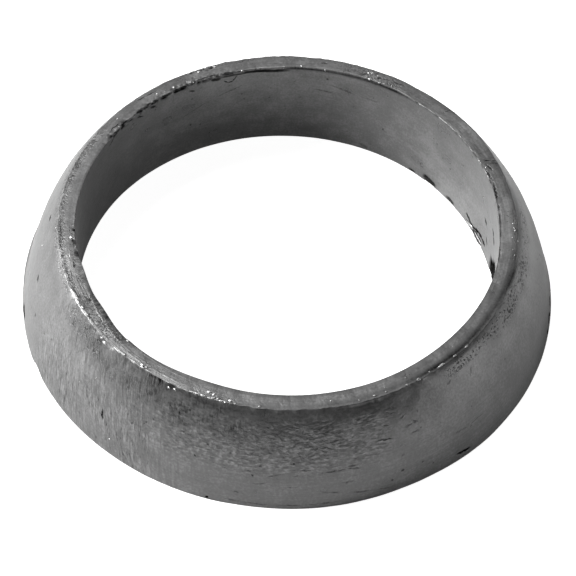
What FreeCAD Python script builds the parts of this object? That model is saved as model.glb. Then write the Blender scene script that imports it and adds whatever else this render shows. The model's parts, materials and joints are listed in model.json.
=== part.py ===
import FreeCAD, Part
import math
import os
import Sketcher

# Pressed ring gasket for the ball joint between two exhaust pipes, in millimetres.
# Its axis is +Z and its origin is the centre of the flat base. Places round the ring are angles
# from +X towards +Y. One piece of graphite pressed into knitted wire, so it is one solid.

DOCUMENT_NAME = "ring_gasket"
NODE_NAME = "gasket_ring"

# Driving sizes of the pressed form
RING_SIZES = [
    ("bore_diameter", 55.0, "inside diameter, a sliding fit on the pipe stub"),
    ("base_width", 7.5, "width of the flat base, from the bore to the seat"),
    ("land_width", 2.2, "width of the narrow flat on top, its flash included"),
    ("land_height", 13.85, "height of the land above the base"),
    ("flash_width", 0.45, "width of the flash pressed up at the land's outer edge"),
    ("flash_height", 0.15, "height of that flash above the land"),
    ("flash_peak", 0.15, "distance from the seat's upper edge in to the flash's peak"),
    ("seat_foot_radius", 0.4, "round between the seat and the base"),
    ("bore_top_radius", 0.3, "round between the bore and the land"),
    ("bore_foot_bevel", 0.25, "bevel between the bore and the base"),
]

# Split below the land, where the skin has lifted from the top of the bore's wall
SPLIT_SIZES = [
    ("split_angle", 91.0, "place round the ring where the split begins, in degrees"),
    ("split_sweep", 16.0, "how far it runs round the ring, in degrees"),
    ("split_drop", 0.4, "distance from the land down to the split"),
    ("split_gap", 0.3, "height of the split"),
    ("split_depth", 0.4, "depth of the split into the wall"),
]

# Chips broken out of the rims: name, rim, place round the ring in degrees, length along the rim
# and depth across the corner
CHIPS = [
    ("notch_chip", "bore_foot", 9.5, 2.8, 0.6),
    ("flake_chip", "bore_foot", 23.0, 5.0, 0.5),
    ("short_chip", "bore_foot", 36.5, 2.0, 0.35),
    ("far_chip", "bore_foot", 46.0, 2.6, 0.35),
    ("long_rim_chip", "seat_foot", 189.5, 4.6, 0.5),
    ("side_rim_chip", "seat_foot", 203.5, 3.8, 0.5),
    ("front_rim_chip", "seat_foot", 231.0, 2.2, 0.35),
    ("back_land_chip", "land_edge", 115.0, 5.0, 0.25),
]

# Each rim's radius and height, and the way out of the solid at its corner
RIMS = {
    "bore_foot": ("Sizes.bore_diameter / 2", "0", -1, -1),
    "seat_foot": ("(Sizes.bore_diameter / 2 + Sizes.base_width)", "0", 1, -1),
    "land_edge": ("(Sizes.bore_diameter / 2 + Sizes.land_width)", "Sizes.land_height", 1, 1),
}

FULL_TURN = 360.0
# A corner's way out leans equally outward and upward
DIAGONAL = 2 ** -0.5
LENGTH_TOLERANCE = 1e-4


def fill_sheet(doc):
    sheet = doc.addObject("Spreadsheet::Sheet", "Sizes")
    rows = RING_SIZES + SPLIT_SIZES
    for name, rim, angle, length, depth in CHIPS:
        rows = rows + [
            (name + "_angle", angle, "place round the ring, in degrees"),
            (name + "_length", length, "length along the rim"),
            (name + "_depth", depth, "depth across the corner"),
        ]
    for row, (alias, value, meaning) in enumerate(rows, start=1):
        sheet.set(f"A{row}", alias)
        sheet.set(f"B{row}", str(value))
        sheet.set(f"C{row}", meaning)
        sheet.setAlias(f"B{row}", alias)
    doc.recompute()
    return sheet


def origin_plane(body, role):
    return next(feature for feature in body.Origin.OriginFeatures if feature.Role == role)


def new_sketch(body, name, role):
    sketch = body.newObject("Sketcher::SketchObject", name)
    sketch.AttachmentSupport = [(origin_plane(body, role), "")]
    sketch.MapMode = "FlatFace"
    return sketch


def draw_outline(sketch, corners, arc_centres=(), tangent_corners=()):
    """Closed outline through named corners, bound to the sheet by their distances.

    A corner without a formula is found by what it is tangent to. arc_centres holds a side's
    number and its arc's centre for each side that isn't straight.
    """
    points = [FreeCAD.Vector(*guess, 0) for name, guess, across, up in corners]
    centres = {side: FreeCAD.Vector(*centre, 0) for side, centre in arc_centres}
    count = len(points)
    for side, start in enumerate(points):
        end = points[(side + 1) % count]
        if side in centres:
            reach = (start - centres[side]).Length
            circle = Part.Circle(centres[side], FreeCAD.Vector(0, 0, 1), reach)
            arc = Part.ArcOfCircle(circle, circle.parameter(start), circle.parameter(end))
            sketch.addGeometry(arc, False)
        else:
            sketch.addGeometry(Part.LineSegment(start, end), False)
    for side in range(count):
        following = (side + 1) % count
        join = "Tangent" if corners[following][0] in tangent_corners else "Coincident"
        sketch.addConstraint(Sketcher.Constraint(join, side, 2, following, 1))
    for side, (name, guess, across, up) in enumerate(corners):
        bind_point(sketch, side, name, guess, across, up)


def bind_point(sketch, geometry, name, guess, across, up):
    """Ties a shape's first point to the sheet, or to the horizontal axis where up is 0."""
    distances = (("DistanceX", "across", across, guess[0]), ("DistanceY", "up", up, guess[1]))
    for kind, label, formula, value in distances:
        if formula is None:
            continue
        if formula == "0":
            # -1 is the sketch's own horizontal axis, and its point 1 is the origin
            sketch.addConstraint(Sketcher.Constraint("PointOnObject", geometry, 1, -1))
            continue
        index = sketch.addConstraint(Sketcher.Constraint(kind, -1, 1, geometry, 1, value))
        sketch.renameConstraint(index, f"{name}_{label}")
        sketch.setExpression(f"Constraints.{name}_{label}", formula)


def circular_edge(shape, radius, height):
    """Name of the full circle of this radius at this height on the ring's axis."""
    for number, edge in enumerate(shape.Edges, start=1):
        curve = edge.Curve
        if not isinstance(curve, Part.Circle):
            continue
        if abs(curve.Radius - radius) > LENGTH_TOLERANCE:
            continue
        if abs(curve.Center.z - height) < LENGTH_TOLERANCE:
            return f"Edge{number}"
    raise ValueError(f"no edge of radius {radius} at height {height}")


def add_section(body, sheet):
    """Section of the pressed form: bore, base, spherical seat, flash and land."""
    bore_radius = sheet.bore_diameter / 2
    base_radius = bore_radius + sheet.base_width
    land_radius = bore_radius + sheet.land_width
    land_height = sheet.land_height
    foot_round = sheet.seat_foot_radius
    # The seat is part of a sphere, so its arc's centre lies on the axis
    centre_height = (land_radius ** 2 + land_height ** 2 - base_radius ** 2) / (2 * land_height)
    seat_radius = math.hypot(base_radius, centre_height)
    # The round at the seat's foot touches the sphere from inside, and the base
    round_centre = math.sqrt((seat_radius - foot_round) ** 2 - (foot_round - centre_height) ** 2)
    stretch = seat_radius / (seat_radius - foot_round)
    seat_foot = (round_centre * stretch, centre_height + (foot_round - centre_height) * stretch)
    flash_top = (land_radius - sheet.flash_peak, land_height + sheet.flash_height)
    bore = "Sizes.bore_diameter / 2"
    land = f"{bore} + Sizes.land_width"
    top = "Sizes.land_height"
    corners = [
        ("bore_foot", (bore_radius, 0), bore, "0"),
        ("base_rim", (round_centre, 0), None, "0"),
        ("seat_foot", seat_foot, None, None),
        ("seat_top", (land_radius, land_height), land, top),
        ("flash_top", flash_top, f"{land} - Sizes.flash_peak", f"{top} + Sizes.flash_height"),
        ("flash_foot", (land_radius - sheet.flash_width, land_height),
         f"{land} - Sizes.flash_width", top),
        ("bore_top", (bore_radius, land_height), bore, top),
    ]
    round_side = 1
    seat_side = 2
    arcs = [(round_side, (round_centre, foot_round)), (seat_side, (0, centre_height))]
    sketch = new_sketch(body, "Section", "XZ_Plane")
    draw_outline(sketch, corners, arcs, ("base_rim", "seat_foot"))
    # The seat's centre, its point 3, lies on the sketch's own vertical axis, -2
    sketch.addConstraint(Sketcher.Constraint("PointOnObject", seat_side, 3, -2))
    index = sketch.addConstraint(Sketcher.Constraint("Radius", round_side, foot_round))
    sketch.renameConstraint(index, "seat_foot_radius")
    sketch.setExpression("Constraints.seat_foot_radius", "Sizes.seat_foot_radius")
    # Sharp corner where the sphere would meet the base if it weren't rounded off
    corner = sketch.addGeometry(Part.Point(FreeCAD.Vector(base_radius, 0, 0)), True)
    bind_point(sketch, corner, "base", (base_radius, 0), f"{bore} + Sizes.base_width", "0")
    sketch.addConstraint(Sketcher.Constraint("PointOnObject", corner, 1, seat_side))
    return sketch


def add_ring(body, sheet):
    section = add_section(body, sheet)
    ring = body.newObject("PartDesign::Revolution", "PressedRing")
    ring.Profile = section
    ring.ReferenceAxis = (section, ["V_Axis"])
    ring.Angle = FULL_TURN
    body.Document.recompute()
    return ring


def ease_bore(body, sheet, ring):
    """Round and bevel at the two ends of the bore's wall."""
    bore_radius = sheet.bore_diameter / 2
    top_round = body.newObject("PartDesign::Fillet", "BoreTopRound")
    top_round.Base = (ring, [circular_edge(ring.Shape, bore_radius, sheet.land_height)])
    top_round.setExpression("Radius", "Sizes.bore_top_radius")
    body.Document.recompute()
    foot_bevel = body.newObject("PartDesign::Chamfer", "BoreFootBevel")
    foot_bevel.Base = (top_round, [circular_edge(top_round.Shape, bore_radius, 0)])
    foot_bevel.setExpression("Size", "Sizes.bore_foot_bevel")
    body.Document.recompute()
    return foot_bevel


def cut_split(body, sheet):
    """Short groove round the bore's wall, just below the land."""
    bore_radius = sheet.bore_diameter / 2
    inner = bore_radius - sheet.split_depth
    outer = bore_radius + sheet.split_depth
    upper = sheet.land_height - sheet.split_drop
    lower = upper - sheet.split_gap
    bore = "Sizes.bore_diameter / 2"
    roof = "Sizes.land_height - Sizes.split_drop"
    # The cutter starts as far inside the bore as it goes into the wall, so it cuts cleanly
    corners = [
        ("inner_low", (inner, lower), f"{bore} - Sizes.split_depth", f"{roof} - Sizes.split_gap"),
        ("outer_low", (outer, lower), f"{bore} + Sizes.split_depth", f"{roof} - Sizes.split_gap"),
        ("outer_high", (outer, upper), f"{bore} + Sizes.split_depth", roof),
        ("inner_high", (inner, upper), f"{bore} - Sizes.split_depth", roof),
    ]
    sketch = new_sketch(body, "SplitSection", "XZ_Plane")
    sketch.AttachmentOffset = FreeCAD.Placement(
        FreeCAD.Vector(), FreeCAD.Rotation(FreeCAD.Vector(0, 1, 0), sheet.split_angle))
    sketch.setExpression(".AttachmentOffset.Rotation.Angle", "Sizes.split_angle * 1 deg")
    draw_outline(sketch, corners)
    split = body.newObject("PartDesign::Groove", "LandSplit")
    split.Profile = sketch
    split.ReferenceAxis = (sketch, ["V_Axis"])
    split.setExpression("Angle", "Sizes.split_sweep * 1 deg")
    body.Document.recompute()
    return split


def cut_chip(body, name, rim):
    """Scoop at a rim: a sphere whose cap has the chip's length and depth."""
    radius, height, outward, upward = RIMS[rim]
    length = f"Sizes.{name}_length"
    depth = f"Sizes.{name}_depth"
    angle = f"Sizes.{name}_angle * 1 deg"
    scoop_radius = f"({length} ^ 2 / 4 + {depth} ^ 2) / (2 * {depth})"
    standoff = f"({scoop_radius} - {depth}) * {DIAGONAL}"
    chip = body.newObject("PartDesign::SubtractiveSphere", name)
    chip.AttachmentSupport = [(origin_plane(body, "XY_Plane"), "")]
    chip.MapMode = "FlatFace"
    chip.setExpression("Radius", f"{scoop_radius} * 1 mm")
    reach = f"({radius} + {outward} * {standoff})"
    chip.setExpression(".AttachmentOffset.Base.x", f"{reach} * cos({angle}) * 1 mm")
    chip.setExpression(".AttachmentOffset.Base.y", f"{reach} * sin({angle}) * 1 mm")
    chip.setExpression(".AttachmentOffset.Base.z", f"({height} + {upward} * {standoff}) * 1 mm")
    chip.setExpression(".AttachmentOffset.Rotation.Angle", angle)
    body.Document.recompute()
    return chip


def check_cut(before, after):
    if after.Shape.Volume >= before.Shape.Volume:
        raise RuntimeError(after.Name + " removes nothing")


def check_document(doc):
    for item in doc.Objects:
        if "Invalid" in item.State or "Error" in item.State:
            raise RuntimeError(f"{item.Name} is in state {item.State}")
    for body in doc.findObjects("PartDesign::Body"):
        if body.Shape.isNull() or not body.Shape.isValid():
            raise RuntimeError(body.Label + " has no valid solid")


def build():
    doc = FreeCAD.newDocument(DOCUMENT_NAME)
    sheet = fill_sheet(doc)
    body = doc.addObject("PartDesign::Body", "GasketRing")
    body.Label = NODE_NAME
    body.Placement = FreeCAD.Placement(FreeCAD.Vector(), FreeCAD.Rotation())
    ring = add_ring(body, sheet)
    last = ease_bore(body, sheet, ring)
    split = cut_split(body, sheet)
    check_cut(last, split)
    last = split
    for name, rim, angle, length, depth in CHIPS:
        chip = cut_chip(body, name, rim)
        check_cut(last, chip)
        last = chip
    body.Tip = last
    doc.recompute()
    check_document(doc)
    os.makedirs("parts", exist_ok=True)
    body.Shape.exportStep(f"parts/{body.Label}.step")
    print(body.Label, f"{body.Shape.Volume:.1f} mm3", len(body.Shape.Solids), "solid")


build()
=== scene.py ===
"""Looks of a used exhaust ring gasket: graphite pressed into knitted steel wire.

Lengths are millimetres and angles are degrees, counted round the ring from +X towards +Y.
MM turns a length into metres where a mesh, a lamp or the camera is made.
"""

import json
import math

import bmesh
import bpy
import numpy as np
from mathutils import Matrix, Vector

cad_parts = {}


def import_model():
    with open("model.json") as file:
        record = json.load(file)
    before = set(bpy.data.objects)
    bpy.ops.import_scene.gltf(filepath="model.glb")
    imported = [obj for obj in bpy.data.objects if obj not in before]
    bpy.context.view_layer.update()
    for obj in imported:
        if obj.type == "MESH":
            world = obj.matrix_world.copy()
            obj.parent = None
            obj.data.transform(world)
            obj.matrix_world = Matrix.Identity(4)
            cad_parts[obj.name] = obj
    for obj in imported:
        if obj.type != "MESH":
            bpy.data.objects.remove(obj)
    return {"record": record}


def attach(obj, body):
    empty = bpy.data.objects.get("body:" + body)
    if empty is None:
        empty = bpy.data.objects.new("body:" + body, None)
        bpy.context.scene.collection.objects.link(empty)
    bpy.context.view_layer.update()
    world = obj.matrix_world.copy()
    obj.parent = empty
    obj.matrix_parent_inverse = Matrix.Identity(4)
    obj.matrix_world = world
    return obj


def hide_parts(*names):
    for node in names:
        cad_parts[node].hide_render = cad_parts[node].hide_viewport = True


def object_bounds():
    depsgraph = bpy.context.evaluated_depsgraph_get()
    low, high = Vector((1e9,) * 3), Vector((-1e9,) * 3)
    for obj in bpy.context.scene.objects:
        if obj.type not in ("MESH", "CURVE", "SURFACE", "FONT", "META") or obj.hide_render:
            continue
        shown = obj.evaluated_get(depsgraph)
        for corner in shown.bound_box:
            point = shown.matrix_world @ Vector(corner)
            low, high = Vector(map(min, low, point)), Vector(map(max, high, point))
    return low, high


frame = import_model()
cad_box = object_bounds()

MM = 0.001

# The pressed form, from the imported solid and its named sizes
RING_NODE = "gasket_ring"
BORE_MOUNT = next(m for m in frame["record"]["mounts"] if m["name"] == "bore")
BORE_RADIUS = BORE_MOUNT["dims"]["r_mm"]
RING_HEIGHT = cad_box[1].z / MM
OUTER_RADIUS = cad_box[1].x / MM
BASE_WIDTH = 7.5
LAND_WIDTH = 2.2
FLASH_HEIGHT = 0.15
FLASH_WIDTH = 0.45
FLASH_PEAK = 0.15
FOOT_ROUND = 0.4
BORE_TOP_ROUND = 0.3
BORE_BEVEL = 0.25

LAND_HEIGHT = RING_HEIGHT - FLASH_HEIGHT
LAND_RADIUS = BORE_RADIUS + LAND_WIDTH
BASE_RADIUS = BORE_RADIUS + BASE_WIDTH
# The seat is part of a sphere whose centre lies on the axis, below the base
SEAT_CENTRE = (LAND_RADIUS ** 2 + LAND_HEIGHT ** 2 - BASE_RADIUS ** 2) / (2 * LAND_HEIGHT)
SEAT_RADIUS = math.hypot(BASE_RADIUS, SEAT_CENTRE)
FOOT_CENTRE = math.sqrt((SEAT_RADIUS - FOOT_ROUND) ** 2 - (FOOT_ROUND - SEAT_CENTRE) ** 2)

# Columns of the ring's mesh round the axis: with its rows they stay under 200,000 triangles
COLUMNS = 930
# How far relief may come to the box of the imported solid
BOX_MARGIN = 0.004
# Radius at which lengths round the skin are true
SKIN_RADIUS = 31.0
# The die's wipe marks all lie one way across the ring: their lean against the section, at its most
WIPE_LEAN = 0.58


def add_node(tree, kind, settings=None, inputs=None):
    """Adds a shader node with its settings, and its inputs as values or as links from nodes or sockets."""
    node = tree.nodes.new("ShaderNode" + kind)
    for name, value in (settings or {}).items():
        setattr(node, name, value)
    for name, value in (inputs or {}).items():
        if isinstance(value, bpy.types.Node):
            value = value.outputs[0]
        if isinstance(value, bpy.types.NodeSocket):
            tree.links.new(value, node.inputs[name])
        else:
            node.inputs[name].default_value = value
    return node


def new_material(name):
    """A material, with its nodes and its shader."""
    material = bpy.data.materials.new(name)
    material.use_nodes = True
    return material, material.node_tree, material.node_tree.nodes["Principled BSDF"]


# Settings that many nodes share
MULTIPLY = {"operation": "MULTIPLY"}
MULTIPLY_ADD = {"operation": "MULTIPLY_ADD"}
MAXIMUM = {"operation": "MAXIMUM"}
SMOOTH = {"interpolation_type": "SMOOTHSTEP"}


def linear(hex_colour):
    """Linear RGBA of an sRGB hex colour."""
    parts = [int(hex_colour[i:i + 2], 16) / 255 for i in (1, 3, 5)]
    return [p / 12.92 if p <= 0.04045 else ((p + 0.055) / 1.055) ** 2.4 for p in parts] + [1.0]


def grain(turn, across, cells_round, cells_across, seed):
    """Smooth random numbers from -1 to 1, on a lattice that closes on itself round the ring."""
    lattice = np.random.default_rng(seed).uniform(-1, 1, (cells_round, cells_across + 2))
    x = (turn % 1.0) * cells_round
    y = np.clip(across, 0, 1) * cells_across
    left = np.floor(x).astype(int)
    lower = np.floor(y).astype(int)
    right_share = smooth_step(x - left)
    upper_share = smooth_step(y - lower)
    left = left % cells_round
    right = (left + 1) % cells_round
    below = lattice[left, lower] * (1 - right_share) + lattice[right, lower] * right_share
    above = lattice[left, lower + 1] * (1 - right_share) + lattice[right, lower + 1] * right_share
    return below * (1 - upper_share) + above * upper_share


def smooth_step(share):
    share = np.clip(share, 0, 1)
    return share * share * (3 - 2 * share)


def turned(angle, start):
    """Degrees from one angle to another the short way round, from -180 to 180."""
    return (angle - start + 180) % 360 - 180


def stretch_of_ring(angle, start, end, fade):
    """1 between two angles, counted upwards, fading to 0 past them."""
    half = ((end - start) % 360) / 2
    return smooth_step((half - np.abs(turned(angle, start + half))) / fade + 0.5)


def band(value, low, high, fade):
    """1 between two values, fading to 0 past them."""
    return smooth_step((value - low) / fade + 0.5) * smooth_step((high - value) / fade + 0.5)


def bump_at(value, centre, half_width):
    """A smooth bump of height 1 round a centre."""
    return np.exp(-(((value - centre) / half_width) ** 2))


# The section, row by row: base, bore, land, flash, seat and foot


def straight(start, end, step):
    """Points along a straight side at about this step, without its last one."""
    count = max(1, round(math.dist(start, end) / step))
    shares = [i / count for i in range(count)]
    return [tuple(a + (b - a) * share for a, b in zip(start, end)) for share in shares]


def arc(centre, radius, first, last, step):
    """Points along an arc between two angles, at about this step, without its last one."""
    count = max(1, round(math.radians(abs(last - first)) * radius / step))
    turns = [math.radians(first + (last - first) * i / count) for i in range(count)]
    return [(centre[0] + radius * math.cos(t), centre[1] + radius * math.sin(t)) for t in turns]


def seat_angle(height):
    """Angle, seen from the sphere's centre, of the seat at this height."""
    return math.degrees(math.asin((height - SEAT_CENTRE) / SEAT_RADIUS))


def section_rows():
    """Corners of the section's sides, each with the step of its rows, finest near the rims."""
    bevel_top = (BORE_RADIUS, BORE_BEVEL)
    low_wall = (BORE_RADIUS, 1.6)
    high_wall = (BORE_RADIUS, LAND_HEIGHT - 1.25)
    split_wall = (BORE_RADIUS, LAND_HEIGHT - 0.9)
    round_foot = (BORE_RADIUS, LAND_HEIGHT - BORE_TOP_ROUND)
    land_start = (BORE_RADIUS + BORE_TOP_ROUND, LAND_HEIGHT)
    flash_foot = (LAND_RADIUS - FLASH_WIDTH, LAND_HEIGHT)
    flash_top = (LAND_RADIUS - FLASH_PEAK, RING_HEIGHT)
    land_edge = (LAND_RADIUS, LAND_HEIGHT)
    seat = (0, SEAT_CENTRE)
    foot = (FOOT_CENTRE, FOOT_ROUND)
    top_round = (BORE_RADIUS + BORE_TOP_ROUND, LAND_HEIGHT - BORE_TOP_ROUND)
    foot_tilt = math.degrees(math.atan2(FOOT_ROUND - SEAT_CENTRE, FOOT_CENTRE))
    return (
        ("base", straight((FOOT_CENTRE, 0), (BORE_RADIUS + BORE_BEVEL, 0), 1.1)),
        ("bore", straight((BORE_RADIUS + BORE_BEVEL, 0), bevel_top, 0.12)),
        ("bore", straight(bevel_top, low_wall, 0.22)),
        ("bore", straight(low_wall, high_wall, 0.6)),
        ("bore", straight(high_wall, split_wall, 0.17)),
        ("bore", straight(split_wall, round_foot, 0.09)),
        ("bore_edge", arc(top_round, BORE_TOP_ROUND, 180, 90, 0.09)),
        ("land", straight(land_start, flash_foot, 0.13)),
        ("flash", straight(flash_foot, flash_top, 0.085)),
        ("flash", straight(flash_top, land_edge, 0.075)),
        ("seat", arc(seat, SEAT_RADIUS, seat_angle(LAND_HEIGHT), seat_angle(13.2), 0.16)),
        ("seat", arc(seat, SEAT_RADIUS, seat_angle(13.2), seat_angle(1.2), 0.48)),
        ("seat", arc(seat, SEAT_RADIUS, seat_angle(1.2), foot_tilt, 0.2)),
        ("foot", arc(foot, FOOT_ROUND, foot_tilt, -90, 0.12)),
    )


class Section:
    """Rows of the closed section: place, outward direction, side and distance along it."""

    def __init__(self):
        points = [(side, point) for side, row in section_rows() for point in row]
        self.side = np.array([side for side, point in points])
        self.r = np.array([point[0] for side, point in points])
        self.z = np.array([point[1] for side, point in points])
        ahead_r, ahead_z = np.roll(self.r, -1) - self.r, np.roll(self.z, -1) - self.z
        length = np.hypot(ahead_r, ahead_z)
        self.along = np.concatenate([[0], np.cumsum(length)[:-1]])
        self.share = self.along / float(length.sum())
        # The outward direction is the mean of the two sides that meet in a row
        out_r, out_z = -ahead_z / length, ahead_r / length
        mean_r, mean_z = out_r + np.roll(out_r, 1), out_z + np.roll(out_z, 1)
        size = np.hypot(mean_r, mean_z)
        self.out_r, self.out_z = mean_r / size, mean_z / size

    def on(self, *sides):
        return np.isin(self.side, sides).astype(float)

    def crisp(self, side, radius):
        """How far out from a rounded rim's rows its crisp corner would lie."""
        reach = np.maximum(np.abs(self.out_r), np.abs(self.out_z))
        return self.on(side) * radius * (1 / reach - 1)

    def along_at(self, side, where):
        """Distance along the section of a height on the bore or the seat, or a radius on the land."""
        sides = {"bore": ("bore",), "land": ("bore_edge", "land", "flash"), "seat": ("seat", "foot")}
        rows = np.isin(self.side, sides[side])
        value = self.r[rows] if side == "land" else self.z[rows]
        order = np.argsort(value)
        return float(np.interp(where, value[order], self.along[rows][order]))

    def place(self, side, angle, where):
        """A point of the pressed form, and its directions round the ring, along the section and out."""
        along = self.along_at(side, where)
        r, z, out_r, out_z = (
            float(np.interp(along, self.along, row)) for row in (self.r, self.z, self.out_r, self.out_z)
        )
        if side == "bore":
            r += float(out_of_round(side, angle, z))
        turn = math.radians(angle)
        point = Vector((r * math.cos(turn), r * math.sin(turn), z))
        outward = Vector((out_r * math.cos(turn), out_r * math.sin(turn), out_z)).normalized()
        around = Vector((-math.sin(turn), math.cos(turn), 0))
        return point, around, outward.cross(around), outward


# Chips that the press and use have left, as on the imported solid: rim, angle, length, depth
CHIPS = (
    ("seat_foot", 189.5, 4.6, 0.5),
    ("seat_foot", 203.5, 3.8, 0.5),
    ("seat_foot", 231, 2.2, 0.12),
    ("land_edge", 115, 4, 0.12),
    ("bore_top", 223.2, 1.1, 0.22),
)
# Chips at the bore's foot: first and last angle, height and depth
FOOT_CHIPS = (
    (3.6, 10.2, 3.2, 0.1),
    (18.6, 24.4, 1, 0.3),
    (34.8, 38, 0.6, 0.05),
    (43.9, 47.8, 0.8, 0.08),
    (51.7, 53, 0.5, 0.04),
)
# The split under the land's inner edge: first and last angle, how far it gapes
SPLITS = ((92, 103.4, 1), (103, 112, 0.4))
SPLIT_DROP = 0.55
SPLIT_GAP = 0.14
SPLIT_DEPTH = 0.4
# Where the bore's top edge is gnawed, and where it is rubbed into the wall
GNAWED = (108.0, 151.0)
RUBBED_IN = (57.0, 78.0)

# The flash that still stands as a broken ridge: first and last angle, share of its height
RIDGE = (
    (189.4, 190.6, 0.5), (191.6, 192.8, 0.6), (196.8, 200.4, 0.45), (202.4, 207.6, 0.9),
    (208.8, 212.6, 0.7), (212.4, 221, 0.35), (221, 231, 0.22), (231.4, 235.2, 0.5),
    (235.2, 247, 0.15), (247, 257.5, 0.6), (308, 320, 0.2),
)

# The worn slope that widens along the bore's top edge, in front on the left
WORN_START, WORN_END = 205.0, 224.0
WORN_WIDTH = 0.25
WORN_GROWTH = 0.045
WORN_SLOPE = 0.24
WORN_DEPTH = 0.5

# How crisp the bore's top edge is, and where the land's outer edge is rubbed soft: share, first and
# last angle, fade
CRISP_BORE_EDGE = ((0.65, 225, 345, 15), (0.8, 10, 58, 6), (0.4, 58, 100, 6), (0.8, 148, 200, 8))
RUBBED_EDGE = ((1, 40, 158, 8), (0.8, 308, 30, 8), (0.45, 213, 248, 6))

# Sides of the section that each part of the skin takes in
SKIN_PARTS = {
    "bore": ("bore", "bore_edge"),
    "land": ("land", "flash"),
    "top": ("bore_edge", "land", "flash"),
    "seat": ("seat", "foot"),
}
# Where the skin is grainy from wear, and where specks of soot gather: share, part, then first and
# last angle with their fade, and lowest and highest height, or radius on top, with theirs
WHOLE_WIDTH = (0, 40, 1)
WORN_PATCHES = (
    (0.5, "seat", (148, 202, 10), (13.0, 14.5, 0.6)),
    (0.5, "land", (148, 202, 8), (28.8, 31, 0.5)),
    (0.5, "seat", (340, 4, 6), (11.4, 13.8, 1.0)),
    (0.3, "top", (247, 259, 3), (28.8, 31, 0.4)),
    (0.5, "top", (66, 71, 2), WHOLE_WIDTH),
)
SPECKLED_PATCHES = (
    (0.8, "seat", (150, 203, 6), (12.8, 14.5, 0.7)),
    (0.8, "land", (154, 203, 6), (29.0, 31, 0.5)),
    (0.8, "top", (182, 203, 4), (0, 28.4, 0.6)),
    (1.0, "seat", (330, 12, 8), (11.3, 14, 1.2)),
    (1.0, "seat", (312, 334, 5), (12.2, 14, 0.9)),
    (0.9, "land", (320, 8, 8), (29.2, 31, 0.3)),
    (0.8, "top", (60, 80, 5), WHOLE_WIDTH),
)

# Patches painted paler, or darker where the share is below 0. Most are painted light and painted
# shade, lighter or darker where the lamps fall on the bore walls, the seat and the land; some are
# rubbed wear and soot. Part, angle and its half width, height or land radius and its half width, share
PAINTED_LIGHT_AND_WEAR = (
    ("seat", 207, 20, 8.5, 5, 0.13),
    ("seat", 349, 15, 1, 3, -0.6),
    ("seat", 345, 32, 9, 3, 0.12),
    ("seat", 4, 16, 10.4, 1.8, 0.2),
    ("seat", 244, 16, 12.5, 3, -0.35),
    ("seat", 292, 12, 11, 3, 0.13),
    ("seat", 325, 18, 13.6, 0.6, -0.22),
    ("land", 75, 50, 29.1, 0.5, 0.18),
    ("land", 302, 34, 29.2, 0.5, -0.55),
    ("land", 214, 8, 27.8, 0.6, 0.3),
    ("bore", 214, 8, 13.4, 0.9, 0.3),
    ("land", 136, 9, 28.3, 0.6, -0.25),
    ("land", 172, 14, 28.3, 1, -0.3),
    ("land", 3, 10, 28.7, 0.9, 0.4),
    ("land", 42, 13, 28.6, 0.9, 0.1),
    ("land", 248, 16, 28.2, 0.6, -0.12),
    ("bore", 36, 16, 2, 4.5, 0.2),
    ("bore", 104, 24, 11.5, 4.5, 0.2),
    ("bore", 164, 18, 7, 14, -0.42),
)

# The valley beside the land on the right: it runs from the land over its edge on to the seat
VALLEY_START, VALLEY_END = 306.0, 14.0
VALLEY_DEPTH = 0.05
VALLEY_WIDTH = 0.38
VALLEY_FOOT = 12.6
VALLEY_RADII = ((306, 29.3), (332, 29.25), (346, 29.65), (355, 29.95), (374, 30.1))

# Where the ring is out of round: sides, angle, half width in degrees, height, shift outwards
OUT_OF_ROUND = (
    (("bore",), 30, 32, 0, -0.42),
    (("bore",), 145, 25, 0, 0.12),
    (("bore",), 85, 35, 0, -0.24),
    (("bore", "bore_edge"), 280, 50, 13.85, -0.17),
    (("bore", "bore_edge"), 318, 20, 13.85, -0.2),
    (("bore", "bore_edge"), 0, 12, 13.85, -0.2),
    (("bore", "bore_edge"), 199, 8, 13.85, -0.33),
    (("bore", "bore_edge"), 212, 6, 13.85, -0.35),
    (("bore", "bore_edge"), 232, 9, 13.85, 0.15),
    (("bore", "bore_edge"), 250, 9, 13.85, -0.13),
    (("seat",), 166, 14, 5, -0.18),
    (("seat", "foot"), 182, 13, 2.5, -0.24),
    (("seat",), 172, 9, 2, -0.12),
    (("seat", "foot"), 297, 11, 0.2, -0.15),
    (("seat",), 12, 14, 2, -0.1),
)


def out_of_round(side, angle, height):
    """Shift outwards of one side, where the ring has lost its round form."""
    total = 0.0
    for sides, middle, half_width, level, shift in OUT_OF_ROUND:
        if side in sides:
            around = bump_at(turned(angle, middle), 0, half_width)
            total = total + shift * around * bump_at(height, level, 5.0)
    return total


def rim_corner(rim):
    """Corner of the section at a rim, and the outward diagonal there."""
    diagonal = math.sqrt(0.5)
    return {
        "seat_foot": ((BASE_RADIUS, 0), (diagonal, -diagonal)),
        "land_edge": ((LAND_RADIUS, LAND_HEIGHT), (diagonal, diagonal)),
        "bore_top": ((BORE_RADIUS, LAND_HEIGHT), (-diagonal, diagonal)),
    }[rim]


def scoop(points, rim, angle, length, depth, ragged):
    """Pushes the points inside a ball at a rim out to the ball, as a chip leaves its hollow."""
    (r, z), (out_r, out_z) = rim_corner(rim)
    ball = (length * length / 4 + depth * depth) / (2 * depth)
    centre_r = r + out_r * (ball - depth)
    centre_z = z + out_z * (ball - depth)
    turn = math.radians(angle)
    centre = np.array([centre_r * math.cos(turn), centre_r * math.sin(turn), centre_z])
    away = points - centre
    reach = np.linalg.norm(away, axis=-1)
    wanted = ball * (1 + ragged)
    inside = reach < wanted
    points[inside] = centre + away[inside] * (wanted[inside] / reach[inside])[:, None]
    return inside.astype(float)


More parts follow.
